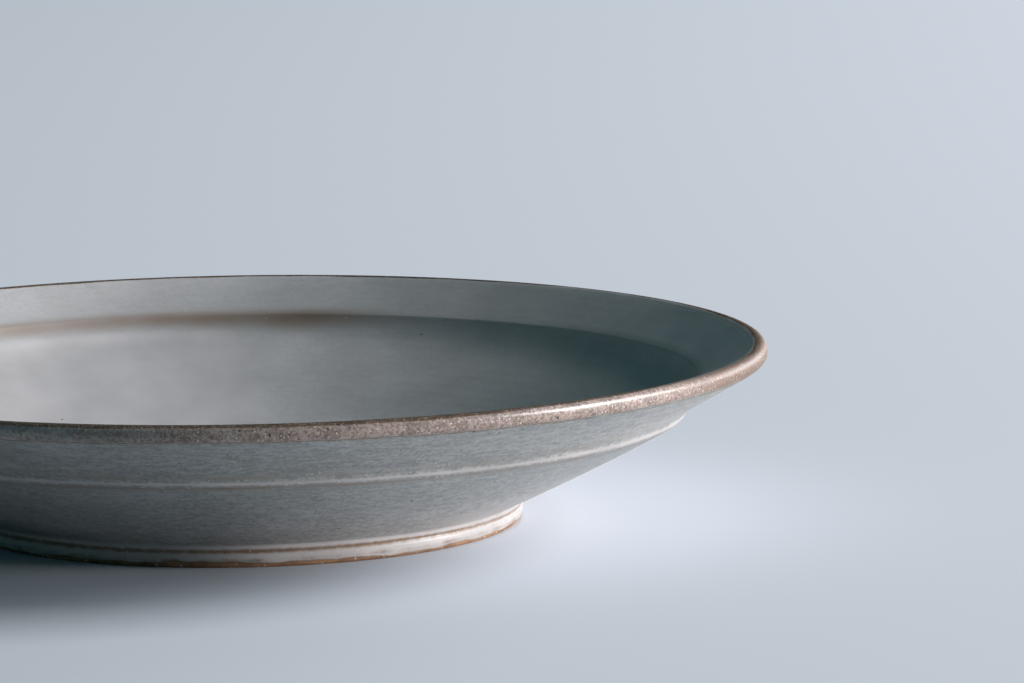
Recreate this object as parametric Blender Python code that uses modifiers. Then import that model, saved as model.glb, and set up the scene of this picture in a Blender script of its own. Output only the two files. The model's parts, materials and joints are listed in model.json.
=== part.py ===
"""Rimmed serving bowl: a thrown and trimmed stoneware body under its coats of glaze.

The clay's half section is drawn once, from the middle of the floor up the inside,
over the lip, down the outside and under the foot.  Each coat of glaze is a stretch
of that same section carried outwards.  Every piece is then turned about Z.
"""

import math

import bpy
import numpy as np

# Clay sizes in metres; radii run from the bowl's axis, heights from the table
RIM_RADIUS = 0.1393
RIM_HEIGHT = 0.0462
WALL = 0.0033
WALL_BULGE = 0.0004
LIP_THICKNESS = 0.0039

# Bead outside, where the wall ends in a rounded edge below the flange
BEAD_RADIUS = 0.1177
BEAD_HEIGHT = 0.0284
BEAD_FACE_RUN = 0.0013
BEAD_FACE_RISE = 0.0030
BEAD_ROUND = 0.0013
BEAD_SWEEP = 0.0046

# Shoulder inside, a step down from the flange to the well that answers the bead
SHOULDER_OFFSET = 0.0052
SHOULDER_RISE = 0.0005
SHOULDER_SLOPE = math.radians(55.0)
SHOULDER_SWEEP = 0.0095

# Floor of the well, and the easy curve that joins it to the wall
FLOOR_THICKNESS = 0.0039
WELL_BLEND = 0.0200

# Trimmed foot ring with one turned groove and a bare, bevelled edge
FOOT_RADIUS = 0.0740
FOOT_HEIGHT = 0.0062
FOOT_SWEEP = 0.0012
FOOT_SWEEP_SHARE = 0.9
FOOT_RING_WIDTH = 0.0075
FOOT_BEVEL = 0.0005
GROOVE_HEIGHT = 0.0041
GROOVE_DEPTH = 0.0005
GROOVE_WIDTH = 0.0015
RECESS_DEPTH = 0.0043
RECESS_FILLET = 0.0012

# Glaze: how thick it lies, how far the lip's thin band reaches, and where it stops
COAT = 0.00035
LIP_COAT = 0.0002
LIP_BAND_INSIDE = 0.0010
LIP_BAND_OUTSIDE = 0.0006
GLAZE_LINE = 0.0013
SEAT_GAP = 0.0003

# Facets round the turn, and points along each kind of curve
TURN_STEPS = 56
LIP_POINTS = 8
CURVE_POINTS = 5
FILLET_POINTS = 4
EDGE_POINTS = 3
WELD_DISTANCE = 0.00005

COLLECTION_NAME = "rimmed_serving_bowl"


def unit(vector):
    """The vector at length one."""
    return vector / np.hypot(*vector)


def left_of(direction):
    """The direction turned a quarter turn anticlockwise in the section's plane."""
    return np.array([-direction[1], direction[0]])


def arc(centre, radius, start, end, count):
    """Points round an arc, from one angle in radians to another."""
    angles = np.linspace(start, end, count)
    return centre + radius * np.stack([np.cos(angles), np.sin(angles)], axis=1)


def curve(start, control, end, count):
    """Points along a quadratic curve that leaves and arrives towards its control point."""
    t = np.linspace(0.0, 1.0, count)[:, None]
    return (1 - t) ** 2 * start + 2 * t * (1 - t) * control + t ** 2 * end


def bow(start, end, rise, count):
    """A shallow curve between two points that stands a rise to the left of their chord."""
    normal = left_of(unit(end - start))
    return curve(start, (start + end) / 2 + 2 * rise * normal, end, count)


def carried(points, distance):
    """The open line moved sideways to its left by a distance, with mitred corners."""
    edges = np.diff(points, axis=0)
    directions = edges / np.hypot(edges[:, 0], edges[:, 1])[:, None]
    normals = np.stack([-directions[:, 1], directions[:, 0]], axis=1)
    before = np.vstack([normals[:1], normals])
    after = np.vstack([normals, normals[-1:]])
    mitres = (before + after) / (1 + np.sum(before * after, axis=1))[:, None]
    return points + distance * mitres


def chained(*stretches):
    """Stretches that share their end points, as one line with each point kept once."""
    return np.vstack([stretches[0]] + [stretch[1:] for stretch in stretches[1:]])


def crossing(point, direction, other_point, other_direction):
    """Where two straight lines in the section's plane meet."""
    share = left_of(other_direction) @ (other_point - point) / (left_of(other_direction) @ direction)
    return point + share * direction


def trimmed(points, head, tail):
    """The open line with a length cut off its first and its last straight run."""
    cut = points.copy()
    cut[0] += head * unit(points[1] - points[0])
    cut[-1] += tail * unit(points[-2] - points[-1])
    return cut


def clay_section():
    """The clay's half section as five named stretches, each starting where the last ends."""
    lip_round = LIP_THICKNESS / 2
    lip_centre = np.array([RIM_RADIUS - lip_round, RIM_HEIGHT - lip_round])
    bead = np.array([BEAD_RADIUS, BEAD_HEIGHT])
    bend = bead + [BEAD_FACE_RUN, BEAD_FACE_RISE]
    foot_top = np.array([FOOT_RADIUS, FOOT_HEIGHT])
    face_up = unit(bend - bead)
    wall_up = unit(bead - foot_top)

    # Outside of the flange: from the bend, just touching the round of the lip
    reach = lip_centre - bend
    slope = math.atan2(reach[1], reach[0]) - math.asin(lip_round / np.hypot(*reach))
    flange_up = np.array([math.cos(slope), math.sin(slope)])
    lip_outside = lip_centre - lip_round * left_of(flange_up)
    band_outside = lip_outside - LIP_BAND_OUTSIDE * flange_up

    # Inside of the flange: from the shoulder, touching the other side of the lip
    shoulder = bend + SHOULDER_OFFSET * flange_up + (WALL + SHOULDER_RISE) * left_of(flange_up)
    reach = lip_centre - shoulder
    slope_inside = math.atan2(reach[1], reach[0]) + math.asin(lip_round / np.hypot(*reach))
    inside_up = np.array([math.cos(slope_inside), math.sin(slope_inside)])
    lip_inside = lip_centre + lip_round * left_of(inside_up)
    band_inside = lip_inside - LIP_BAND_INSIDE * inside_up

    # Inside of the wall, one wall away from the outside of it, between the floor and the step
    step_up = np.array([math.cos(SHOULDER_SLOPE), math.sin(SHOULDER_SLOPE)])
    step_foot = crossing(shoulder, step_up, bead + WALL * left_of(wall_up), wall_up)
    floor_height = RECESS_DEPTH + FLOOR_THICKNESS
    floor_edge = step_foot - (step_foot[1] - floor_height) / wall_up[1] * wall_up

    well = np.vstack([
        [[0.0, floor_height]],
        curve(floor_edge - [WELL_BLEND, 0.0], floor_edge, floor_edge + WELL_BLEND * wall_up, CURVE_POINTS),
        curve(step_foot - SHOULDER_SWEEP * wall_up, step_foot, shoulder, CURVE_POINTS),
        [band_inside],
    ])
    lip = np.vstack([
        [band_inside],
        arc(lip_centre, lip_round, slope_inside + math.pi / 2, slope - math.pi / 2, LIP_POINTS),
        [band_outside],
    ])

    # Hollow where the wall runs into the foot: it takes at most a share of the run above the groove
    groove_edge = np.array([0.0, GROOVE_WIDTH / 2])
    groove_mid = np.array([FOOT_RADIUS, GROOVE_HEIGHT])
    foot_sweep = min(FOOT_SWEEP, FOOT_SWEEP_SHARE * (foot_top - groove_mid - groove_edge)[1])
    bead_above = bead + BEAD_ROUND * face_up
    bead_below = bead - BEAD_ROUND * wall_up
    wall_foot = foot_top + FOOT_SWEEP * wall_up
    outside = chained(
        np.array([band_outside, bend + BEAD_SWEEP * flange_up]),
        curve(bend + BEAD_SWEEP * flange_up, bend, bead_above, CURVE_POINTS),
        curve(bead_above, bead, bead_below, EDGE_POINTS),
        bow(bead_below, wall_foot, WALL_BULGE, CURVE_POINTS),
        curve(wall_foot, foot_top, foot_top - [0.0, foot_sweep], FILLET_POINTS),
    )
    groove = [groove_mid + groove_edge, groove_mid - [GROOVE_DEPTH, 0.0], groove_mid - groove_edge]
    outside = np.vstack([outside, groove, [[FOOT_RADIUS, GLAZE_LINE]]])

    ring_inside = FOOT_RADIUS - FOOT_RING_WIDTH
    bare_foot = np.array([
        [FOOT_RADIUS, GLAZE_LINE],
        [FOOT_RADIUS, FOOT_BEVEL],
        [FOOT_RADIUS - FOOT_BEVEL, 0.0],
        [ring_inside + FOOT_BEVEL, 0.0],
        [ring_inside, FOOT_BEVEL],
        [ring_inside, GLAZE_LINE],
    ])
    fillet_centre = np.array([ring_inside - RECESS_FILLET, RECESS_DEPTH - RECESS_FILLET])
    recess = np.vstack([
        [[ring_inside, GLAZE_LINE]],
        arc(fillet_centre, RECESS_FILLET, 0.0, math.pi / 2, FILLET_POINTS),
        [[0.0, RECESS_DEPTH]],
    ])
    return {"well": well, "lip": lip, "outside": outside, "bare_foot": bare_foot, "recess": recess}


def coat_outline(stretch, thickness, head, tail):
    """A coat of glaze on one stretch: out along its face, back along the side on the clay."""
    seat = trimmed(stretch, head, tail)
    face = carried(seat, SEAT_GAP + thickness)
    back = carried(seat, SEAT_GAP)
    return np.vstack([face, back[::-1]])


def finish(name, colour, roughness):
    """A Principled material for one piece."""
    material = bpy.data.materials.new(name)
    material.use_nodes = True
    shader = material.node_tree.nodes["Principled BSDF"]
    shader.inputs["Base Color"].default_value = (*colour, 1.0)
    shader.inputs["Roughness"].default_value = roughness
    shader.inputs["Metallic"].default_value = 0.0
    return material


def turned(name, outline, material, collection):
    """One piece turned about Z from the loop of its half section, open along the axis."""
    count = len(outline)
    points = [(radius, 0.0, height) for radius, height in outline]
    off_axis = outline[:, 0] > WELD_DISTANCE
    loop = [(i, (i + 1) % count) for i in range(count)]
    edges = [(i, j) for i, j in loop if off_axis[i] or off_axis[j]]
    mesh = bpy.data.meshes.new(name)
    mesh.from_pydata(points, edges, [])
    mesh.materials.append(material)
    piece = bpy.data.objects.new(name, mesh)
    collection.objects.link(piece)
    screw = piece.modifiers.new("Turn", "SCREW")
    screw.axis = "Z"
    screw.angle = 2 * math.pi
    screw.steps = TURN_STEPS
    screw.render_steps = TURN_STEPS
    screw.use_merge_vertices = True
    screw.merge_threshold = WELD_DISTANCE
    screw.use_smooth_shade = True
    return piece


def build():
    """Clear the scene, then make the clay body and its four coats of glaze."""
    for old in list(bpy.data.objects):
        bpy.data.objects.remove(old, do_unlink=True)
    collection = bpy.data.collections.new(COLLECTION_NAME)
    bpy.context.scene.collection.children.link(collection)

    section = clay_section()
    half_gap = SEAT_GAP / 2
    clay = finish("bare_stoneware", (0.28, 0.19, 0.13), 0.85)
    glaze = finish("grey_glaze", (0.36, 0.38, 0.38), 0.50)
    lip_glaze = finish("broken_glaze", (0.33, 0.24, 0.18), 0.40)

    turned("stoneware_body", chained(*section.values()), clay, collection)
    turned("inside_glaze", coat_outline(section["well"], COAT, 0.0, half_gap), glaze, collection)
    turned("lip_glaze", coat_outline(section["lip"], LIP_COAT, half_gap, half_gap), lip_glaze, collection)
    turned("outside_glaze", coat_outline(section["outside"], COAT, half_gap, 0.0), glaze, collection)
    turned("recess_glaze", coat_outline(section["recess"], COAT, 0.0, 0.0), glaze, collection)


build()
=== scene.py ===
"""Looks of the rimmed serving bowl: its clay, its coats of glaze and a plain stage.

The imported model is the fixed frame.  Every piece is a surface turned about Z: a half section
in metres, worked out as arrays, is carried round the circle with a little relief on it.
"""

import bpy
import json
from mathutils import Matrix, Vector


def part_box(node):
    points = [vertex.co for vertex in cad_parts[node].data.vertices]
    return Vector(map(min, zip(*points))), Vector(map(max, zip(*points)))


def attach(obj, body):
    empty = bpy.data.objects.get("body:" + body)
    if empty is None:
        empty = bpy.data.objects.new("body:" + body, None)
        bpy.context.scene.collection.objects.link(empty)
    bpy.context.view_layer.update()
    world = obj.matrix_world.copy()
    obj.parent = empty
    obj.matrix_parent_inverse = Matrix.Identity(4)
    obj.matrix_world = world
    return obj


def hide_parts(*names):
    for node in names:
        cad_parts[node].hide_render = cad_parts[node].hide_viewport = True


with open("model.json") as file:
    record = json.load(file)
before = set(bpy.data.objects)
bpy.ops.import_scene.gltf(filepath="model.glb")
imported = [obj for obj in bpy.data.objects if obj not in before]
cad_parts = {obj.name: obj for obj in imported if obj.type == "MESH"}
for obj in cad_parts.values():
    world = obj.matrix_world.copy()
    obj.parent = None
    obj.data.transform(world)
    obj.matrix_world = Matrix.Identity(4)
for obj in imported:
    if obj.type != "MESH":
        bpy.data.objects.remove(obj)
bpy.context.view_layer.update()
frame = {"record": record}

import json
import math

import bpy
import numpy as np
from bpy.props import FloatProperty, FloatVectorProperty, IntProperty, PointerProperty
from mathutils import Matrix

bl_info = {
    "name": "Rimmed serving bowl",
    "version": (1, 0, 0),
    "blender": (4, 5, 0),
    "location": "3D View > Sidebar > Bowl",
    "description": "Thrown stoneware bowl with a grey glaze that breaks brown on its edges",
    "category": "Object",
}

BODY = "root"

# Places that the packed clay and glaze already fix
_, CLAY_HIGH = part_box("stoneware_body")
OUTSIDE_LOW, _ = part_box("outside_glaze")
_, RECESS_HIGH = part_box("recess_glaze")
FOOT_RING = frame["record"]["mounts"][0]["pos_m"]

# Soft lamps: azimuth from +X towards +Y, elevation, width and height in metres, watts
LAMPS = {
    "key": (math.radians(4.0), math.radians(29.0), 3.4, 1.9, 334.0),
    "low": (math.radians(-7.0), math.radians(3.5), 2.1, 0.6, 326.0),
    "back": (math.radians(50.0), math.radians(13.0), 2.6, 1.4, 108.0),
}

# Fineness of the turned surfaces: steps along the section in metres, counts of points and columns
SECTION_STEP = 0.00005
CLAY_STEP = 0.0010
CLAY_FOOT_STEP = 0.00015
RECESS_STEP = 0.0008
CURVE_COUNT = 41
SAMPLE_COUNT = 4000
TURN_COUNT = 320
CLAY_TURN_COUNT = 240
FLOOR_COUNT = 96

# Points closer together than this are one point, and points nearer to the axis lie on it, in metres
SAME_POINT = 1e-9
ON_AXIS = 1e-7

# Lift of a coat's underside off the clay in metres, the share of the lip over which its thinner coat
# sets in, how many spreads a softening bell reaches, and the bend that stays a sharp edge
BACK_LIFT = 0.00003
LIP_BLEND = 0.35
BELL_REACH = 4
SHARP_EDGE = math.radians(50.0)

# Lines where the outside glaze is thin, each at a place on the section: offset and reach in metres,
# strength, how patchy the line is round the turn, and the share that it loses on the right
THIN_OUTSIDE = (
    ("bead", -0.0046, 0.0020, 0.28, 0.00, 0.00),
    ("bead", -0.0027, 0.0009, 0.26, 0.15, 0.60),
    ("bead", 0.0005, 0.0007, 0.46, 0.15, 0.50),
    ("bead", 0.0018, 0.0014, 0.32, 0.00, 0.00),
    ("foot_top", -0.0060, 0.0040, 0.22, 0.00, 0.00),
    ("groove", -0.0002, 0.0007, 0.95, 0.06, 0.26),
    ("end", -0.0007, 0.0007, 0.34, 0.36, 0.00),
)

# Finger rings: height, how many to a pitch along the section, how many to a turn, and phase
RING_WAVES = ((1.0, 1.0, 1, 0.0), (0.6, 2.37, -2, 1.3), (0.4, 0.31, 3, 0.7))

# Waves round the turn: height, how many to a turn, and phase
SHOULDER_WAVES = ((0.0003, 2, 0.4), (0.0002, 5, 1.9), (0.0002, 11, 0.2))
LIP_WAVES = ((0.00012, 7, 0.3), (0.00008, 19, 2.0), (0.00008, 43, 1.0))
EDGE_WAVES = ((0.00025, 5, 0.8), (0.00018, 13, 2.1), (0.00012, 29, 0.4), (0.00008, 61, 1.7))
PATCH_WAVES = ((0.30, 23, 0.6), (0.30, 41, 1.1), (0.25, 67, 2.9))


def length(label, words, default):
    """A property in metres."""
    return FloatProperty(name=label, description=words, default=default, unit="LENGTH", precision=5)


def number(label, words, default):
    """A property without a unit."""
    return FloatProperty(name=label, description=words, default=default)


def angle(label, words, degrees):
    """A property that holds an angle, with its default in degrees."""
    return FloatProperty(name=label, description=words, default=math.radians(degrees), subtype="ANGLE")


def colour(label, words, default):
    """A property that holds a linear colour."""
    return FloatVectorProperty(name=label, description=words, default=default, size=3, subtype="COLOR")


class BowlSizes(bpy.types.PropertyGroup):
    """Sizes of the clay's half section and of the glaze that lies on it."""

    rim_radius: length("Rim radius", "Clay radius at the outermost point of the lip", CLAY_HIGH.x)
    rim_height: length("Rim height", "Clay height at the crest of the lip", CLAY_HIGH.z)
    wall: length("Wall", "Clay thickness of the flange and wall", 0.0033)
    wall_bulge: length("Wall bulge", "How far the wall swells between bead and foot", 0.0004)
    lip_thickness: length("Lip thickness", "Clay thickness of the rounded lip", 0.0039)
    bead_radius: length("Bead radius", "Radius of the bead's edge outside", 0.1177)
    bead_height: length("Bead height", "Height of the bead's edge outside", 0.0284)
    face_run: length("Bead face run", "How far the bead's steep face runs outwards", 0.0013)
    face_rise: length("Bead face rise", "How far the bead's steep face climbs to the flange", 0.0030)
    bead_round: length("Bead round", "Reach of the round on the bead's edge", 0.0013)
    bead_sweep: length("Bead sweep", "Reach of the hollow between bead and flange", 0.0046)
    shoulder_offset: length("Shoulder offset", "How far up the flange the inner shoulder lies", 0.0052)
    shoulder_rise: length("Shoulder rise", "How far the inner shoulder stands up", 0.0005)
    shoulder_slope: angle("Shoulder slope", "Steepness of the step below the shoulder", 55.0)
    shoulder_sweep: length("Shoulder sweep", "Reach of the hollow below the shoulder", 0.0095)
    floor_thickness: length("Floor thickness", "Clay thickness over the foot's recess", 0.0039)
    well_blend: length("Well blend", "Reach of the curve between floor and wall", 0.0200)
    ring_width: length("Ring width", "Width of the foot ring", 0.0075)
    foot_height: length("Foot height", "Height where the wall meets the foot", 0.0062)
    foot_sweep: length("Foot sweep", "Reach of the hollow where the wall runs into the foot", 0.0012)
    foot_bevel: length("Foot bevel", "Bevel on the foot's bare edges", 0.0005)
    groove_height: length("Groove height", "Height of the groove turned in the foot", 0.0041)
    groove_depth: length("Groove depth", "Depth of the groove turned in the foot", 0.0005)
    groove_width: length("Groove width", "Width of the groove turned in the foot", 0.0015)
    recess_fillet: length("Recess fillet", "Round of the recess inside the foot ring", 0.0012)
    glaze_line: length("Glaze line", "Height where the glaze stops above the table", OUTSIDE_LOW.z)
    seat_gap: length("Seat gap", "Space between the clay and the back of a coat", 0.0003)
    coat: length("Coat", "Thickness of the grey glaze", 0.00035)
    lip_coat: length("Lip coat", "Thickness of the thin glaze on the lip", 0.0002)
    band_inside: length("Band inside", "How far the lip's glaze runs down inside", 0.0010)
    band_outside: length("Band outside", "How far the lip's glaze runs down outside", 0.0006)
    softening: length("Softening", "Length over which the glaze rounds off a corner", 0.00030)
    turning_height: length("Turning height", "Height of the rings that the fingers leave", 0.00004)
    turning_pitch: length("Turning pitch", "Distance from one such ring to the next", 0.0042)


class GlazeLook(bpy.types.PropertyGroup):
    """Colours and finish of the clay and the glaze."""

    # Both greys are the bowl's one glaze: the inside grey is set paler, painted light on the
    # upward-facing inside, and the outside grey darker, painted shade on the downward-facing outside.
    grey_inside: colour("Inside grey", "Glaze in the well and on the flange", (0.422, 0.429, 0.438))
    grey_outside: colour("Outside grey", "Glaze on the outer wall and foot", (0.272, 0.282, 0.270))
    # The pale greys are glaze that lies thick, and also painted light: on the lit step below the
    # shoulder, the lit left of the well, the shaded inner flange, and the outer bead, flange and wall.
    pale_inside: colour("Inside pool", "Glaze where it lies thick inside", (0.590, 0.580, 0.596))
    pale_outside: colour("Outside pool", "Glaze where it lies thick outside", (0.468, 0.436, 0.420))
    brown: colour("Brown break", "Glaze where it thins on an edge", (0.210, 0.140, 0.090))
    tan: colour("Lip tan", "Thin glaze on the outside of the lip", (0.258, 0.207, 0.183))
    crest: colour("Lip crest", "Thin glaze on the crest of the lip", (0.105, 0.068, 0.047))
    sand: colour("Sand", "Pale grains that show through the glaze", (0.640, 0.572, 0.505))
    pit: colour("Pit", "Pinholes and iron specks", (0.045, 0.035, 0.028))
    clay: colour("Bare clay", "Fired clay at the foot", (0.310, 0.168, 0.086))
    clay_dark: colour("Toasted clay", "Darker patches of the bare clay", (0.165, 0.085, 0.045))
    glaze_rough: number("Glaze roughness", "Roughness of the grey glaze", 0.44)
    lip_rough: number("Lip roughness", "Roughness of the thin glaze on the lip", 0.45)
    lip_shine: number("Lip shine", "Specular level of the thin glaze on the lip", 0.10)
    gloss_rough: number("Gloss roughness", "Roughness of the gloss on the lip's crest", 0.26)
    gloss_index: number("Gloss index", "Refractive index of the gloss on the lip's crest", 1.9)
    clay_rough: number("Clay roughness", "Roughness of the bare clay", 0.82)


class StageLook(bpy.types.PropertyGroup):
    """Floor, light and camera."""

    floor: colour("Floor", "Plain pale floor", (0.630, 0.685, 0.755))
    floor_radius: length("Floor radius", "Radius of the round floor", 9.0)
    floor_rough: number("Floor roughness", "Roughness of the floor", 0.8)
    floor_shine: number("Floor shine", "Specular level of the floor", 0.2)
    fill: colour("Fill", "Colour of the light from all round", (0.22, 0.90, 1.00))
    fill_strength: number("Fill strength", "Strength of the light from all round", 0.065)
    lamp: colour("Lamp", "Colour of the soft lamps", (1.00, 0.955, 0.965))
    lamp_distance: length("Lamp distance", "Distance of the soft lamps from the bowl", 5.0)
    camera_back: length("Camera back", "How far the camera stands before the bowl's axis", 1.6987)
    camera_height: length("Camera height", "Height of the camera over the floor", 0.2912)
    camera_pitch: angle("Camera pitch", "How far the camera looks down", 8.204)
    camera_yaw: angle("Camera yaw", "How far the camera looks to the right of the axis", 2.443)
    camera_roll: angle("Camera roll", "Tilt of the picture", -0.683)
    lens: number("Lens", "Focal length in millimetres", 228.5)
    sensor: number("Sensor", "Width of the sensor in millimetres", 36.0)


# Lines of the half section

def unit(vector):
    """The vector at length one."""
    return vector / np.hypot(*vector)


def left_of(direction):
    """The direction turned a quarter turn anticlockwise in the section's plane."""
    return np.array([-direction[1], direction[0]])


def arc(centre, radius, start, end):
    """Points at a radius from a centre, at even angles from start to end."""
    angles = np.linspace(start, end, CURVE_COUNT)
    return centre + radius * np.stack([np.cos(angles), np.sin(angles)], axis=1)


def curve(start, control, end):
    """A quadratic curve: start, control and end weighted by (1-t)^2, 2t(1-t) and t^2."""
    t = np.linspace(0.0, 1.0, CURVE_COUNT)[:, None]
    return (1 - t) ** 2 * start + 2 * t * (1 - t) * control + t ** 2 * end


def bow(start, end, rise):
    """A quadratic curve between two points that stands a rise to the left of their chord."""
    normal = left_of(unit(end - start))
    return curve(start, (start + end) / 2 + 2 * rise * normal, end)


def normals_of(line):
    """Unit normals to the left of an open line, averaged at its points."""
    tangent = np.gradient(line, axis=0)
    tangent /= np.hypot(tangent[:, 0], tangent[:, 1])[:, None]
    return np.stack([-tangent[:, 1], tangent[:, 0]], axis=1)


def carried(line, distance):
    """The open line moved to its left by a distance, each corner on its mitre."""
    edges = np.diff(line, axis=0)
    directions = edges / np.hypot(edges[:, 0], edges[:, 1])[:, None]
    sides = np.stack([-directions[:, 1], directions[:, 0]], axis=1)
    before = np.vstack([sides[:1], sides])
    after = np.vstack([sides, sides[-1:]])
    mitres = (before + after) / (1 + np.sum(before * after, axis=1))[:, None]
    return line + distance * mitres


def joined(*lines):
    """Lines end to end, with the points that they share kept once."""
    line = np.vstack(lines)
    apart = np.hypot(*np.diff(line, axis=0).T) > SAME_POINT
    return line[np.concatenate([[True], apart])]


def lengths_along(line):
    """Distance along the line to each of its points."""
    return np.concatenate([[0.0], np.cumsum(np.hypot(*np.diff(line, axis=0).T))])


def evenly(line, step):
    """The line read off again at points an even step apart."""
    along = lengths_along(line)
    even = np.linspace(0.0, along[-1], int(round(along[-1] / step)) + 1)
    return np.stack([np.interp(even, along, line[:, 0]), np.interp(even, along, line[:, 1])], axis=1)


def softened(line, step, spread):
    """The line averaged under a bell curve of a spread, run on straight past both its ends."""
    reach = int(BELL_REACH * spread / step)
    bell = np.exp(-0.5 * (np.arange(-reach, reach + 1) * step / spread) ** 2)
    bell /= bell.sum()
    steps = np.arange(1, reach + 1)[:, None]
    head = line[0] - steps[::-1] * (line[1] - line[0])
    tail = line[-1] + steps * (line[-1] - line[-2])
    longer = np.vstack([head, line, tail])
    return np.stack([np.convolve(longer[:, i], bell, mode="valid") for i in (0, 1)], axis=1)


def crossing(point, direction, other_point, other_direction):
    """Where two straight lines in the section's plane meet."""
    across = left_of(other_direction)
    return point + across @ (other_point - point) / (across @ direction) * direction


def clay_lines(sizes):
    """The clay's half section as named stretches, from the middle of the floor to under the foot."""
    lip_round = sizes.lip_thickness / 2
    lip_centre = np.array([sizes.rim_radius - lip_round, sizes.rim_height - lip_round])
    foot_radius = FOOT_RING[0] + sizes.ring_width / 2
    foot_top = np.array([foot_radius, sizes.foot_height])
    bead = np.array([sizes.bead_radius, sizes.bead_height])
    bend = bead + [sizes.face_run, sizes.face_rise]
    face_up = unit(bend - bead)
    wall_up = unit(bead - foot_top)

    reach = lip_centre - bend
    slope = math.atan2(reach[1], reach[0]) - math.asin(lip_round / np.hypot(*reach))
    flange_up = np.array([math.cos(slope), math.sin(slope)])
    band_outside = lip_centre - lip_round * left_of(flange_up) - sizes.band_outside * flange_up

    shoulder_lift = sizes.wall + sizes.shoulder_rise
    shoulder = bend + sizes.shoulder_offset * flange_up + shoulder_lift * left_of(flange_up)
    reach = lip_centre - shoulder
    slope_inside = math.atan2(reach[1], reach[0]) + math.asin(lip_round / np.hypot(*reach))
    inside_up = np.array([math.cos(slope_inside), math.sin(slope_inside)])
    band_inside = lip_centre + lip_round * left_of(inside_up) - sizes.band_inside * inside_up

    step_up = np.array([math.cos(sizes.shoulder_slope), math.sin(sizes.shoulder_slope)])
    step_foot = crossing(shoulder, step_up, bead + sizes.wall * left_of(wall_up), wall_up)
    recess_depth = RECESS_HIGH.z + sizes.seat_gap
    floor_height = recess_depth + sizes.floor_thickness
    floor_edge = step_foot - (step_foot[1] - floor_height) / wall_up[1] * wall_up
    blend = sizes.well_blend

    bead_above = bead + sizes.bead_round * face_up
    bead_below = bead - sizes.bead_round * wall_up
    wall_foot = foot_top + sizes.foot_sweep * wall_up
    groove_mid = np.array([foot_radius, sizes.groove_height])
    groove_edge = np.array([0.0, sizes.groove_width / 2])
    ring_inside = foot_radius - sizes.ring_width
    bevel = sizes.foot_bevel
    fillet = sizes.recess_fillet
    return {
        "well": joined(
            [[0.0, floor_height]],
            curve(floor_edge - [blend, 0.0], floor_edge, floor_edge + blend * wall_up),
            curve(step_foot - sizes.shoulder_sweep * wall_up, step_foot, shoulder),
            [band_inside],
        ),
        "lip": joined(
            [band_inside],
            arc(lip_centre, lip_round, slope_inside + math.pi / 2, slope - math.pi / 2),
            [band_outside],
        ),
        "flange": joined([band_outside], curve(bend + sizes.bead_sweep * flange_up, bend, bead_above)),
        "bead": curve(bead_above, bead, bead_below),
        "wall": bow(bead_below, wall_foot, sizes.wall_bulge),
        "foot": joined(
            curve(wall_foot, foot_top, foot_top - [0.0, sizes.foot_sweep]),
            [groove_mid + groove_edge, groove_mid - [sizes.groove_depth, 0.0], groove_mid - groove_edge],
            [[foot_radius, sizes.glaze_line]],
        ),
        "bare_foot": joined(
            [[foot_radius, sizes.glaze_line], [foot_radius, bevel], [foot_radius - bevel, 0.0]],
            [[ring_inside + bevel, 0.0], [ring_inside, bevel], [ring_inside, sizes.glaze_line]],
        ),
        "recess": joined(
            [[ring_inside, sizes.glaze_line]],
            arc(np.array([ring_inside - fillet, recess_depth - fillet]), fillet, 0.0, math.pi / 2),
            [[0.0, recess_depth]],
        ),
    }


class Skin:
    """The clay's half section lifted by a coat and softened, with the places along it that matter."""

    def __init__(self, sizes, lift, lip_lift):
        clay = clay_lines(sizes)
        well = carried(clay["well"], lift)
        share = lengths_along(clay["lip"])
        inwards = ramp(np.minimum(share, share[-1] - share), 0.0, LIP_BLEND * share[-1])
        lip = carried(clay["lip"], (lift + (lip_lift - lift) * inwards)[:, None])
        down = joined(clay["flange"], clay["bead"], clay["wall"], clay["foot"], clay["bare_foot"][:2])
        outside = carried(down, lift)
        whole = joined(well, lip, outside)
        self.line = softened(evenly(whole, SECTION_STEP), SECTION_STEP, sizes.softening)
        self.along = lengths_along(self.line)
        self.normals = normals_of(self.line)
        before_bead = len(clay["flange"]) - 1
        before_foot = len(joined(clay["flange"], clay["bead"], clay["wall"])) - 1
        self.shoulder = self.nearest(well[-2])
        self.band_inside = self.nearest(lip[0])
        self.crest = float(self.along[np.argmax(self.line[:, 1])])
        self.band_outside = self.nearest(lip[-1])
        self.bead = self.nearest(outside[before_bead + CURVE_COUNT // 2])
        self.foot_top = self.nearest(outside[before_foot + CURVE_COUNT // 2])
        self.groove = self.nearest(outside[-4])
        self.end = self.nearest(outside[-2])

    def nearest(self, point):
        """Distance along the section to its point nearest another."""
        gaps = np.hypot(*(self.line - point).T)
        return float(self.along[np.argmin(gaps)])

    def read(self, places):
        """Points and normals of the section at distances along it."""
        points = np.stack([np.interp(places, self.along, self.line[:, i]) for i in (0, 1)], axis=-1)
        normals = np.stack([np.interp(places, self.along, self.normals[:, i]) for i in (0, 1)], axis=-1)
        return points, normals


def face_skin(sizes):
    """The section of the finished glaze."""
    return Skin(sizes, sizes.seat_gap + sizes.coat, sizes.seat_gap + sizes.lip_coat)


def back_skin(sizes):
    """The section of the glaze's underside, close over the clay."""
    return Skin(sizes, BACK_LIFT, BACK_LIFT)


def crowded(start, end, count, spots):
    """Places from start to end, closer together near spots given as (place, reach, weight)."""
    even = np.linspace(start, end, SAMPLE_COUNT)
    density = np.ones_like(even)
    for place, reach, weight in spots:
        density += weight * np.exp(-(((even - place) / reach) ** 2))
    share = np.concatenate([[0.0], np.cumsum((density[1:] + density[:-1]) / 2)])
    return np.interp(np.linspace(0.0, share[-1], count), share, even)


def hump(places, middle, reach):
    """A bell that is 1 at its middle: e to the power of minus the squared distance over the reach."""
    return np.exp(-(((places - middle) / reach) ** 2))


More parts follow.
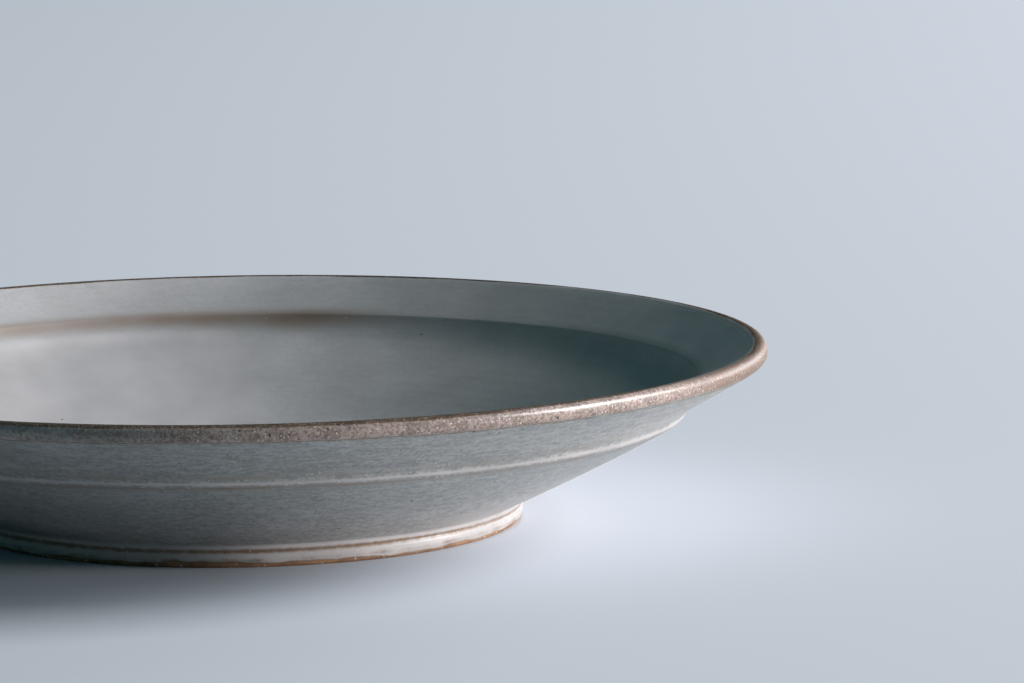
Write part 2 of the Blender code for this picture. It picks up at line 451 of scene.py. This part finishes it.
def ramp(places, start, end):
    """A smooth step from 0 at start to 1 at end: t t (3 - 2 t), where t is the share of the way."""
    t = np.clip((places - start) / (end - start), 0.0, 1.0)
    return t * t * (3 - 2 * t)


def turning_rings(places, angles, sizes):
    """Rings left by the fingers: sines along the section that climb as they go round."""
    pitches = 2 * math.pi * places / sizes.turning_pitch
    rings = sum(
        height * np.sin(quick * pitches + count * angles + phase)
        for height, quick, count, phase in RING_WAVES
    )
    return sizes.turning_height * rings


# Meshes

def turned_mesh(name, rows, attributes):
    """A closed mesh from rows of points round Z.

    Row i, column j holds (radius, height) at the angle of column j.  A first and last row on
    the axis become poles; otherwise the last row joins the first.
    """
    count, around = rows.shape[:2]
    angles = np.linspace(0.0, 2 * math.pi, around, endpoint=False)
    radius, height = rows[..., 0], rows[..., 1]
    points = np.stack([radius * np.cos(angles), radius * np.sin(angles), height], axis=-1)
    poles = bool(np.all(radius[0] < ON_AXIS) and np.all(radius[-1] < ON_AXIS))
    ring = np.arange(count * around).reshape(count, around)
    if poles:
        ring[0] = ring[0, 0]
        ring[-1] = ring[-1, 0]
    low = ring[:-1] if poles else ring
    high = ring[1:] if poles else np.roll(ring, -1, axis=0)
    quads = np.stack([low, high, np.roll(high, -1, axis=1), np.roll(low, -1, axis=1)], axis=-1)
    if poles:
        quads = quads[1:-1]
        top = np.stack([low[0], high[0], np.roll(high[0], -1)], axis=-1)
        bottom = np.stack([low[-1], high[-1], np.roll(low[-1], -1)], axis=-1)
        triangles = np.concatenate([top, bottom])
    else:
        triangles = np.empty((0, 3), dtype=ring.dtype)
    quads = quads.reshape(-1, 4)
    corners = np.concatenate([quads.ravel(), triangles.ravel()])
    used, corners = np.unique(corners, return_inverse=True)
    starts = np.concatenate([np.arange(len(quads)) * 4, len(quads) * 4 + np.arange(len(triangles)) * 3])

    mesh = bpy.data.meshes.new(name)
    mesh.vertices.add(len(used))
    mesh.vertices.foreach_set("co", points.reshape(-1, 3)[used].astype(np.float32).ravel())
    mesh.loops.add(len(corners))
    mesh.loops.foreach_set("vertex_index", corners.astype(np.int32))
    mesh.polygons.add(len(starts))
    mesh.polygons.foreach_set("loop_start", starts.astype(np.int32))
    mesh.update(calc_edges=True)
    mesh.shade_smooth()
    mesh.set_sharp_from_angle(angle=SHARP_EDGE)
    for label, values in attributes.items():
        layer = mesh.attributes.new(label, "FLOAT", "POINT")
        layer.data.foreach_set("value", values.reshape(-1)[used].astype(np.float32))
    return mesh


def piece(name, mesh, node, material):
    """Put a mesh in the scene as a piece that stands for a CAD node, hide the node, and hang the piece
    on the body.
    """
    mesh.materials.append(material)
    made = bpy.data.objects.new(name, mesh)
    bpy.context.scene.collection.objects.link(made)
    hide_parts(node)
    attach(made, BODY)
    return made


def coat_rows(face, back, places, back_row, relief):
    """Rows of one coat: out along its face with relief on it, then back along its underside.

    Places and relief hold a value for each row and column.  The face stands on its section at
    its places, lifted along the normals by the relief; the underside is a plain section.
    """
    points, normals = face.read(places)
    under, _ = back.read(back_row[::-1, None] + 0.0 * columns())
    return np.concatenate([points + relief[..., None] * normals, under])


def columns():
    """Angles of the columns of a turned surface."""
    return np.linspace(0.0, 2 * math.pi, TURN_COUNT, endpoint=False)[None, :]


def towards_x(start, end):
    """A smooth step in the cosine of each column's angle, which is 1 at the bowl's right."""
    return ramp(np.cos(columns()), start, end)


def towards_y(start, end):
    """A smooth step in the sine of each column's angle, which is 1 at the bowl's far side."""
    return ramp(np.sin(columns()), start, end)


def with_back(values, back_count):
    """Attribute rows for a coat: the face's own, then its last row's all over the underside."""
    return np.concatenate([values, np.repeat(values[-1:], back_count, axis=0)])


def wave(angles, terms):
    """A closed wavy line round the turn: sines given as (height, count, phase)."""
    return sum(height * np.sin(count * angles + phase) for height, count, phase in terms)


# Materials

class Wire:
    """A shader socket that takes part in Python sums, each of which adds a Math node."""

    def __init__(self, tree, socket=None):
        self.tree = tree
        self.socket = socket

    def node(self, kind, settings=None, sockets=None, out=0):
        """Add a node of a kind, set its settings and then its sockets, and give one output."""
        made = self.tree.nodes.new(kind)
        for key, value in (settings or {}).items():
            setattr(made, key, value)
        for key, value in (sockets or {}).items():
            if isinstance(value, Wire):
                self.tree.links.new(value.socket, made.inputs[key])
            else:
                made.inputs[key].default_value = value
        return Wire(self.tree, made.outputs[out])

    def math(self, operation, first, second):
        """One Math node on two values."""
        return self.node("ShaderNodeMath", {"operation": operation}, {0: first, 1: second})

    def __add__(self, other):
        return self.math("ADD", self, other)

    def __radd__(self, other):
        return self.math("ADD", other, self)

    def __sub__(self, other):
        return self.math("SUBTRACT", self, other)

    def __rsub__(self, other):
        return self.math("SUBTRACT", other, self)

    def __mul__(self, other):
        return self.math("MULTIPLY", self, other)

    def __rmul__(self, other):
        return self.math("MULTIPLY", other, self)

    def __lt__(self, other):
        return self.math("LESS_THAN", self, other)

    def between(self, low, high):
        """A smooth step from 0 at low to 1 at high."""
        return self.node("ShaderNodeMapRange", {"interpolation_type": "SMOOTHSTEP"},
                         {"Value": self, "From Min": low, "From Max": high})


def new_material(name):
    """An empty node material: its tree's first wire and its Principled shader."""
    material = bpy.data.materials.new(name)
    material.use_nodes = True
    tree = material.node_tree
    return material, Wire(tree), tree.nodes["Principled BSDF"]


def mixed(factor, first, second):
    """A colour between two, by a factor."""
    fill = [value if isinstance(value, Wire) else (*value, 1.0) for value in (first, second)]
    sockets = {0: factor, 6: fill[0], 7: fill[1]}
    return factor.node("ShaderNodeMix", {"data_type": "RGBA"}, sockets, out=2)


def noise(wire, vector, scale, detail=2.0, rough=0.5):
    """Smooth noise between 0 and 1 on a vector."""
    return wire.node("ShaderNodeTexNoise", None,
                     {"Vector": vector, "Scale": scale, "Detail": detail, "Roughness": rough})


def grains(wire, vector, scale, radius, share):
    """Small round dots: near enough to a cell's middle, and only in a share of the cells."""
    cells = wire.node("ShaderNodeTexVoronoi", None, {"Vector": vector, "Scale": scale})
    chance = wire.node("ShaderNodeSeparateColor", None,
                       {0: Wire(wire.tree, cells.socket.node.outputs["Color"])})
    edge = 1 - cells.between(radius * 0.6, radius)
    return edge * (chance < share)


def shade_by(wire, amount):
    """A colour wire made darker or lighter by an amount."""
    return wire.node("ShaderNodeVectorMath", {"operation": "SCALE"}, {0: wire, "Scale": amount})


def link(wire, shader, socket):
    """Feed a shader's socket from a wire."""
    wire.tree.links.new(wire.socket, shader.inputs[socket])


def attribute(start, label):
    """A value kept on the mesh."""
    return start.node("ShaderNodeAttribute", {"attribute_name": label}, out="Fac")


def streaks(turn, along, length_wise, across):
    """Noise drawn out round the turn: slow along the circle, quick along the section."""
    slow = turn.node("ShaderNodeVectorMath", {"operation": "SCALE"}, {0: turn, "Scale": length_wise})
    up = turn.node("ShaderNodeCombineXYZ", None, {"Z": along * across})
    spread = turn.node("ShaderNodeVectorMath", {"operation": "ADD"}, {0: slow, 1: up})
    return noise(turn, spread, 1.0, 3.0, 0.6)


class GlazeMarks:
    """Wires that every glaze shares: place, thin and pooled stretches with painted shade and light among
    them, streaks, clouds and grain.
    """

    def __init__(self, start):
        self.place = start.node("ShaderNodeTexCoord", out="Object")
        # The thin attribute marks where the glaze breaks brown, and in a few places painted shade; the
        # pale attribute read next marks pooled glaze, and in several places painted light.
        self.thin = attribute(start, "thin")
        self.pool = attribute(start, "pool")
        along = attribute(start, "along")
        flat = start.node("ShaderNodeVectorMath", {"operation": "MULTIPLY"},
                          {0: self.place, 1: (1.0, 1.0, 0.0)})
        turn = start.node("ShaderNodeVectorMath", {"operation": "NORMALIZE"}, {0: flat})
        self.fine = streaks(turn, along, length_wise=30.0, across=600.0) - 0.5
        self.broad = streaks(turn, along, length_wise=3.0, across=110.0) - 0.5
        self.cloud = noise(start, self.place, scale=55.0, detail=3.0, rough=0.55) - 0.5
        self.mottle = noise(start, self.place, scale=850.0, detail=3.0, rough=0.65) - 0.5

    def body(self, grey, pale, streak):
        """The grey itself: paler where it has pooled and where light is painted on, and sandy by a share
        where it hasn't.
        """
        lean = 1 - self.pool.between(0.42, 0.58)
        sandy = (self.fine * 2.2 + self.mottle * 2.4) * lean * streak
        tone = sandy + self.broad * (0.1 + 0.5 * streak) + self.cloud * 0.45 + 0.5
        # Share of the pale grey: pooled glaze, and painted light where the attribute carries it.
        thick = (self.pool + self.cloud * self.pool * 0.5).between(0.0, 1.0)
        return shade_by(mixed(thick, grey, pale), 0.75 + 0.5 * tone.between(0.0, 1.0))


def grey_glaze(name, look, grey, pale, streak, speck):
    """Satin grey glaze: turning streaks, fine sand, soft clouds, pinholes, brown where it is thin."""
    material, start, shader = new_material(name)
    marks = GlazeMarks(start)
    sand = grains(start, marks.place, scale=620.0, radius=0.22, share=speck)
    pits = grains(start, marks.place, scale=330.0, radius=0.13, share=speck * 0.5)
    uneven = (marks.fine + marks.mottle * 0.8) * streak + marks.cloud * 0.5
    # Brown where the glaze breaks thin, and, below the inner shoulder, painted shade.
    worn = (marks.thin + uneven * marks.thin.between(0.03, 0.4)).between(0.10, 1.0)
    broken = mixed(worn, marks.body(grey, pale, streak), look.brown)
    sanded = mixed(sand * 0.45, broken, look.sand)
    link(mixed(pits * 0.8, sanded, look.pit), shader, "Base Color")
    rough = look.glaze_rough + marks.cloud * 0.16 + marks.fine * 0.2 + pits * 0.3
    link(rough, shader, "Roughness")
    height = marks.fine * 0.4 * streak + sand * 0.6 - pits * 2.0
    bump = start.node("ShaderNodeBump", None, {"Strength": 0.5, "Distance": 0.00008, "Height": height})
    link(bump, shader, "Normal")
    return material


def lip_glaze(name, look):
    """Thin glaze on the lip: glossy dark crest, sandy brown outside down to a line, grey inside."""
    material, start, shader = new_material(name)
    marks = GlazeMarks(start)
    grey = attribute(start, "grey")
    line = attribute(start, "line")
    inner = attribute(start, "inner")
    gloss = attribute(start, "gloss")
    grain = noise(start, marks.place, scale=1250.0, detail=3.0, rough=0.65) - 0.5
    patch = noise(start, marks.place, scale=160.0, detail=3.0, rough=0.6) - 0.5
    sand = grains(start, marks.place, scale=1900.0, radius=0.42, share=0.35)
    large = grains(start, marks.place, scale=1100.0, radius=0.32, share=0.30)
    pits = grains(start, marks.place, scale=420.0, radius=0.18, share=0.15)
    # Dark crest brown where the glaze is thin on the crest; the same brown is painted shade on the far
    # right and at the tip.
    dark = (marks.thin + grain * 0.7 + patch * 0.5).between(0.25, 0.75)
    brown = mixed(dark, look.tan, look.crest)
    mottle = (grain + patch * 0.5 + 0.5).between(0.34, 0.66)
    mottled = mixed(mottle, shade_by(brown, 0.62), shade_by(brown, 1.38))
    sanded = mixed(sand * 0.35, mottled, look.sand)
    grained = mixed(large * (1 - dark * 0.6) * 0.7, sanded, look.sand)
    # Grey below the band, and painted shade: grey over the band at the front left.
    greyed = (grey + grain * 0.9 + patch * 0.8).between(0.25, 0.75)
    over = mixed(greyed, grained, marks.body(look.grey_outside, look.pale_outside, streak=0.9))
    lined = mixed((line + grain * 0.8 + patch * 1.2).between(0.2, 1.0), over, look.brown)
    inside = marks.body(look.grey_inside, look.pale_inside, streak=0.2)
    within = mixed((inner + grain * 0.6).between(0.2, 0.8), lined, inside)
    link(mixed(pits * 0.85, within, look.pit), shader, "Base Color")
    link(look.lip_rough + grain * 0.2 + pits * 0.3, shader, "Roughness")
    link(gloss * (1 - pits), shader, "Coat Weight")
    shader.inputs["Specular IOR Level"].default_value = look.lip_shine
    shader.inputs["Coat Roughness"].default_value = look.gloss_rough
    shader.inputs["Coat IOR"].default_value = look.gloss_index
    height = grain * 0.5 + sand * 0.4 + large * 0.7 - pits * 2.0
    bump = start.node("ShaderNodeBump", None, {"Strength": 0.3, "Distance": 0.00006, "Height": height})
    link(bump, shader, "Normal")
    return material


def bare_clay(name, look):
    """Bare fired clay: toasted patches, open grain and sand."""
    material, start, shader = new_material(name)
    place = start.node("ShaderNodeTexCoord", out="Object")
    patch = noise(start, place, scale=130.0, detail=3.0, rough=0.6)
    grain = noise(start, place, scale=1500.0, detail=2.0, rough=0.7)
    sand = grains(start, place, scale=700.0, radius=0.30, share=0.5)
    body = mixed((patch + (grain - 0.5) * 0.6).between(0.35, 0.7), look.clay, look.clay_dark)
    link(mixed(sand * 0.5, body, look.sand), shader, "Base Color")
    link(look.clay_rough + (grain - 0.5) * 0.2, shader, "Roughness")
    height = (grain - 0.5) + sand * 0.5
    bump = start.node("ShaderNodeBump", None, {"Strength": 0.6, "Distance": 0.0001, "Height": height})
    link(bump, shader, "Normal")
    return material


# Operators

class BOWL_OT_clay(bpy.types.Operator):
    """Make the clay body, which shows at the bare foot"""

    bl_idname = "bowl.clay"
    bl_label = "Clay body"

    def execute(self, context):
        sizes, look = context.scene.bowl_sizes, context.scene.bowl_glaze
        lines = clay_lines(sizes)
        line = evenly(joined(*lines.values()), CLAY_STEP)
        fine_foot = evenly(lines["bare_foot"], CLAY_FOOT_STEP)
        first = int(np.argmin(np.hypot(*(line - fine_foot[0]).T)))
        last = int(np.argmin(np.hypot(*(line - fine_foot[-1]).T)))
        line = joined(line[:first], fine_foot, line[last + 1:])
        line[[0, -1], 0] = 0.0
        rows = np.repeat(line[:, None, :], CLAY_TURN_COUNT, axis=1)
        mesh = turned_mesh("clay_body", rows, {})
        piece("clay_body", mesh, "stoneware_body", bare_clay("bare_clay", look))
        return {"FINISHED"}


class BOWL_OT_inside_glaze(bpy.types.Operator):
    """Make the grey glaze of the well, the shoulder and the flange"""

    bl_idname = "bowl.inside_glaze"
    bl_label = "Inside glaze"

    face_count: IntProperty(name="Rows", description="Rows along the face", default=240)
    back_count: IntProperty(name="Back rows", description="Rows along the underside", default=60)
    ring_drop: length("Ring drop", "How far below the shoulder the brown ring lies", 0.0009)
    ring_reach: length("Ring reach", "How far the brown ring spreads to each side", 0.0034)

    def execute(self, context):
        sizes, look = context.scene.bowl_sizes, context.scene.bowl_glaze
        face, back = face_skin(sizes), back_skin(sizes)
        row, back_row = [
            crowded(0.0, skin.band_inside, count,
                    [(skin.shoulder, 0.006, 3.0), (skin.band_inside, 0.003, 2.0)])
            for skin, count in ((face, self.face_count), (back, self.back_count))
        ]
        row = row[:, None]
        places = row + 0.0 * columns()
        fade = 0.25 * ramp(row, 0.004, 0.02) * (1 - 0.6 * ramp(row, face.shoulder - 0.01, face.shoulder))
        relief = turning_rings(places, columns(), sizes) * fade
        rows = coat_rows(face, back, places, back_row, relief)
        rows[[0, -1], :, 0] = 0.0
        shoulder = face.shoulder
        middle = shoulder - self.ring_drop + wave(columns(), SHOULDER_WAVES)
        strength = 0.50 + 0.10 * towards_x(-0.40, -0.15) - 0.60 * towards_x(0.10, 0.65)
        ring = hump(places, middle, self.ring_reach) + 0.25 * hump(places, middle + 0.0024, 0.0036)
        # Painted shade: brown below the ring on the far side just right of the middle, where the step
        # under the shoulder lies in shadow.
        under_ring_shade = 0.50 * hump(np.cos(columns()), 0.20, 0.25) * hump(places, middle - 0.0040, 0.0030)
        thin = strength * (ring + under_ring_shade)
        left = 1 - towards_x(-0.15, 0.35)
        # Painted highlight: a pale line on the step below the shoulder, only on the lit left.
        step_highlight_side = 1 - towards_x(-0.30, 0.20)
        step_highlight = 0.55 * step_highlight_side * hump(places, shoulder - 0.0062, 0.0022)
        # Glaze pooled pale in the well, made paler still on the lit left: painted light there.
        well = (0.32 + 0.26 * left) * (1 - ramp(places, shoulder - 0.0100, shoulder - 0.0040))
        # Painted light: the inner flange made paler on the right, where it lies in shade.
        flange = 0.55 * towards_x(0.50, 0.90) * ramp(places, shoulder + 0.0005, shoulder + 0.0030)
        pool = step_highlight + well + flange
        values = {"along": places, "thin": thin, "pool": pool}
        attributes = {label: with_back(value, self.back_count) for label, value in values.items()}
        mesh = turned_mesh("inside_coat", rows, attributes)
        material = grey_glaze("inside_grey", look, look.grey_inside, look.pale_inside,
                              streak=0.15, speck=0.02)
        piece("inside_coat", mesh, "inside_glaze", material)
        return {"FINISHED"}


class BOWL_OT_lip_glaze(bpy.types.Operator):
    """Make the thin glaze that breaks brown round the lip"""

    bl_idname = "bowl.lip_glaze"
    bl_label = "Lip glaze"

    face_count: IntProperty(name="Rows", description="Rows along the face", default=110)
    back_count: IntProperty(name="Back rows", description="Rows along the underside", default=30)
    band_edge: length("Band edge", "How far from the crest the brown band ends outside", 0.0060)
    brown_reach: length("Brown reach", "How far from the crest the brown reaches inside", 0.0016)
    # Painted shade: where round the lip, and how far, a grey patch is painted over the band at the front
    # left.
    shade_grey_angle: angle("Veil angle", "Where thicker glaze veils the band", 250.0)
    shade_grey_reach: angle("Veil reach", "How far round that glaze reaches", 27.0)

    def execute(self, context):
        sizes, look = context.scene.bowl_sizes, context.scene.bowl_glaze
        face, back = face_skin(sizes), back_skin(sizes)
        row, back_row = [
            crowded(skin.band_inside, skin.band_outside, count, [(skin.band_outside, 0.0006, 4.0)])
            for skin, count in ((face, self.face_count), (back, self.back_count))
        ]
        places = row[:, None] + 0.0 * columns()
        rows = coat_rows(face, back, places, back_row, 0.0 * places)
        out = places + wave(columns(), LIP_WAVES) - face.crest
        edge = self.band_edge
        right = towards_x(0.25, 0.75)
        tip = towards_x(0.60, 0.95)
        far = towards_y(-0.45, -0.15)
        brown_inside = self.brown_reach - right * (self.brown_reach - 0.0006 * far)
        within = brown_inside * (1 - 0.4 * towards_y(0.1, 0.5))
        polish = (0.88 - 0.58 * towards_x(0.50, 0.75)) * (1 - 0.8 * towards_x(0.80, 0.95))
        # Painted shade: grey laid over the lip's brown band round the front left, where the band lies in
        # shade.
        shade_grey = 0.55 * hump(columns(), self.shade_grey_angle, self.shade_grey_reach) * ramp(out, 0.0010, 0.0025)
        strip = (1 - 0.7 * tip) * (1 - ramp(out, 0.0012 - 0.0008 * right, 0.0027 - 0.0012 * right))
        # Painted shade: the crest painted dark on the far right, where it faces away from the light.
        far_shade_strip = far * right * ramp(out, -0.0010, -0.0004) * (1 - ramp(out, 0.0004, 0.0012))
        values = {
            "along": places,
            # Painted shade: the tip is painted darker, towards the crest's brown, where the lamps light
            # it most.
            "thin": np.maximum(np.maximum(strip, 0.58 * tip), far_shade_strip),
            "inner": ramp(-out, within, within + 0.0006),
            "gloss": polish * ramp(out, -0.0014, -0.0008) * (1 - ramp(out, 0.0029, 0.0035)),
            "grey": np.maximum(ramp(out, edge - 0.0012, edge + 0.0004), shade_grey),
            "line": hump(out, edge, 0.00022),
        }
        attributes = {label: with_back(value, self.back_count) for label, value in values.items()}
        mesh = turned_mesh("lip_coat", rows, attributes)
        piece("lip_coat", mesh, "lip_glaze", lip_glaze("lip_brown", look))
        return {"FINISHED"}


class BOWL_OT_outside_glaze(bpy.types.Operator):
    """Make the grey glaze of the outside, the bead and the foot"""

    bl_idname = "bowl.outside_glaze"
    bl_label = "Outside glaze"

    face_count: IntProperty(name="Rows", description="Rows along the face", default=240)
    back_count: IntProperty(name="Back rows", description="Rows along the underside", default=60)
    edge_sway: length("Edge sway", "How far up the waves of the lower edge are felt", 0.0022)
    edge_run: length("Edge run", "How far up the rounded end of the glaze begins", 0.0012)
    edge_sink: length("Edge sink", "How far the end of the glaze sinks towards the clay", 0.00042)

    def execute(self, context):
        sizes, look = context.scene.bowl_sizes, context.scene.bowl_glaze
        face, back = face_skin(sizes), back_skin(sizes)
        row, back_row = [
            crowded(skin.band_outside, skin.end, count, [
                (skin.band_outside, 0.0015, 4.0), (skin.bead, 0.0025, 4.0), (skin.groove, 0.004, 3.0),
            ])
            for skin, count in ((face, self.face_count), (back, self.back_count))
        ]
        row = row[:, None]
        edge = wave(columns(), EDGE_WAVES) + 0.0002 + 0.0004 * towards_x(0.45, 0.70)
        places = row + edge * ramp(row, face.end - self.edge_sway, face.end)
        calm = 0.5 - 0.4 * hump(row, face.bead, 0.002)
        relief = turning_rings(places, columns(), sizes) * calm
        relief = relief - self.edge_sink * ramp(row, face.end - self.edge_run, face.end)
        rows = coat_rows(face, back, places, back_row, relief)
        patchy = wave(columns(), PATCH_WAVES)
        right = towards_x(0.45, 0.92)
        bead, foot_top, end = face.bead, face.foot_top, face.end
        thin = 1.20 * ramp(row, end - 0.0005, end)
        for place, offset, reach, strength, patch, fade in THIN_OUTSIDE:
            line = hump(places, getattr(face, place) + offset, reach)
            thin = thin + (strength + patch * patchy) * (1 - fade * right) * line
        # Painted highlight: a pale line on the bead's steep face, wider on the lit right.
        bead_highlight = 0.70 * hump(places, bead - 0.0010, 0.0006 + 0.0003 * right)
        # The lower wall is made paler all round, and more so on the lit right, where this is painted
        # light.
        wall = (0.42 + 0.16 * right) * ramp(places, bead + 0.002, foot_top - 0.006)
        # Painted light: the outer flange made paler on the lit right.
        flange = 0.40 * right * (1 - ramp(places, bead - 0.004, bead - 0.002))
        # Glaze pooled pale on the foot, held back on the brightly lit right: painted shade there.
        foot = (0.42 - 0.50 * right) * ramp(places, foot_top - 0.0010, foot_top + 0.0002)
        pool = bead_highlight + wall + flange + foot
        values = {"along": places, "thin": thin, "pool": pool}
        attributes = {label: with_back(value, self.back_count) for label, value in values.items()}
        mesh = turned_mesh("outside_coat", rows, attributes)
        material = grey_glaze("outside_grey", look, look.grey_outside, look.pale_outside,
                              streak=0.9, speck=0.40)
        piece("outside_coat", mesh, "outside_glaze", material)
        return {"FINISHED"}


class BOWL_OT_recess_glaze(bpy.types.Operator):
    """Make the grey glaze in the recess under the foot"""

    bl_idname = "bowl.recess_glaze"
    bl_label = "Recess glaze"

    def execute(self, context):
        sizes, look = context.scene.bowl_sizes, context.scene.bowl_glaze
        seat = evenly(clay_lines(sizes)["recess"], RECESS_STEP)
        face = carried(seat, sizes.seat_gap + sizes.coat)
        back = carried(seat, sizes.seat_gap)
        line = np.vstack([back[::-1], face])
        line[[0, -1], 0] = 0.0
        rows = np.repeat(line[:, None, :], TURN_COUNT, axis=1)
        along = lengths_along(line)
        thin = ramp(along, along[-1] / 2 + 0.001, along[-1] / 2)
        values = {"along": along, "thin": thin}
        attributes = {
            label: np.repeat(value[:, None], TURN_COUNT, axis=1) for label, value in values.items()
        }
        mesh = turned_mesh("recess_coat", rows, attributes)
        material = grey_glaze("recess_grey", look, look.grey_outside, look.pale_outside,
                              streak=0.5, speck=0.15)
        piece("recess_coat", mesh, "recess_glaze", material)
        return {"FINISHED"}


class BOWL_OT_stage(bpy.types.Operator):
    """Make the floor, the soft light and the camera"""

    bl_idname = "bowl.stage"
    bl_label = "Stage"

    def execute(self, context):
        scene, stage = context.scene, context.scene.bowl_stage
        self.make_floor(scene, stage)
        self.make_light(scene, stage)
        self.make_camera(scene, stage)
        scene.view_settings.view_transform = "Standard"
        return {"FINISHED"}

    def make_floor(self, scene, stage):
        """A flat round floor, one ring of points on its edge."""
        angles = np.linspace(0.0, 2 * math.pi, FLOOR_COUNT, endpoint=False)
        ring = np.stack([np.cos(angles), np.sin(angles), np.zeros_like(angles)], axis=1)
        mesh = bpy.data.meshes.new("floor")
        mesh.from_pydata((ring * stage.floor_radius).tolist(), [], [list(range(FLOOR_COUNT))])
        material, _, shader = new_material("floor_paint")
        shader.inputs["Base Color"].default_value = (*stage.floor, 1.0)
        shader.inputs["Roughness"].default_value = stage.floor_rough
        shader.inputs["Specular IOR Level"].default_value = stage.floor_shine
        mesh.materials.append(material)
        floor = bpy.data.objects.new("floor", mesh)
        scene.collection.objects.link(floor)

    def make_light(self, scene, stage):
        """Even light from all round, and the soft lamps aimed at the bowl."""
        world = bpy.data.worlds.new("studio")
        world.use_nodes = True
        background = world.node_tree.nodes["Background"]
        background.inputs["Color"].default_value = (*stage.fill, 1.0)
        background.inputs["Strength"].default_value = stage.fill_strength
        scene.world = world
        for name, (azimuth, elevation, width, height, watts) in LAMPS.items():
            data = bpy.data.lights.new(name, "AREA")
            data.shape = "RECTANGLE"
            data.size = width
            data.size_y = height
            data.energy = watts
            data.color = stage.lamp
            lamp = bpy.data.objects.new(name, data)
            flat = math.cos(elevation)
            aim = np.array([flat * math.cos(azimuth), flat * math.sin(azimuth), math.sin(elevation)])
            lamp.location = aim * stage.lamp_distance
            lamp.rotation_euler = (math.pi / 2 - elevation, 0.0, azimuth + math.pi / 2)
            lamp.visible_camera = False
            scene.collection.objects.link(lamp)

    def make_camera(self, scene, stage):
        """A camera before the bowl, turned by yaw, pitch and roll in that order."""
        yaw, pitch, roll = stage.camera_yaw, stage.camera_pitch, stage.camera_roll
        ahead = math.cos(pitch)
        forward = np.array([ahead * math.sin(yaw), ahead * math.cos(yaw), -math.sin(pitch)])
        level = np.array([math.cos(yaw), -math.sin(yaw), 0.0])
        upright = np.cross(level, forward)
        right = level * math.cos(roll) + upright * math.sin(roll)
        up = upright * math.cos(roll) - level * math.sin(roll)
        place = np.array([0.0, -stage.camera_back, stage.camera_height])
        matrix = np.eye(4)
        matrix[:3] = np.stack([right, up, -forward, place], axis=1)
        data = bpy.data.cameras.new("camera")
        data.sensor_fit = "HORIZONTAL"
        data.sensor_width = stage.sensor
        data.lens = stage.lens
        camera = bpy.data.objects.new("camera", data)
        camera.matrix_world = Matrix(matrix.tolist())
        scene.collection.objects.link(camera)
        scene.camera = camera


class BOWL_PT_panel(bpy.types.Panel):
    """Sizes, colours and steps of the bowl"""

    bl_idname = "BOWL_PT_panel"
    bl_label = "Rimmed serving bowl"
    bl_space_type = "VIEW_3D"
    bl_region_type = "UI"
    bl_category = "Bowl"

    def draw(self, context):
        for group in (context.scene.bowl_sizes, context.scene.bowl_glaze, context.scene.bowl_stage):
            box = self.layout.box()
            for label in group.__annotations__:
                box.prop(group, label)
        for operator in OPERATORS:
            self.layout.operator(operator.bl_idname)


OPERATORS = (BOWL_OT_clay, BOWL_OT_inside_glaze, BOWL_OT_lip_glaze, BOWL_OT_outside_glaze,
             BOWL_OT_recess_glaze, BOWL_OT_stage)
GROUPS = {"bowl_sizes": BowlSizes, "bowl_glaze": GlazeLook, "bowl_stage": StageLook}
CLASSES = (*GROUPS.values(), *OPERATORS, BOWL_PT_panel)


def register():
    """Add the classes and hang the settings on the scene."""
    for made in CLASSES:
        bpy.utils.register_class(made)
    for label, group in GROUPS.items():
        setattr(bpy.types.Scene, label, PointerProperty(type=group))


def unregister():
    """Take the settings and classes away again."""
    for label in GROUPS:
        delattr(bpy.types.Scene, label)
    for made in reversed(CLASSES):
        bpy.utils.unregister_class(made)


def main():
    """Register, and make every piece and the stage."""
    register()
    bpy.ops.bowl.clay()
    bpy.ops.bowl.inside_glaze()
    bpy.ops.bowl.lip_glaze()
    bpy.ops.bowl.outside_glaze()
    bpy.ops.bowl.recess_glaze()
    bpy.ops.bowl.stage()


if __name__ == "__main__":
    main()
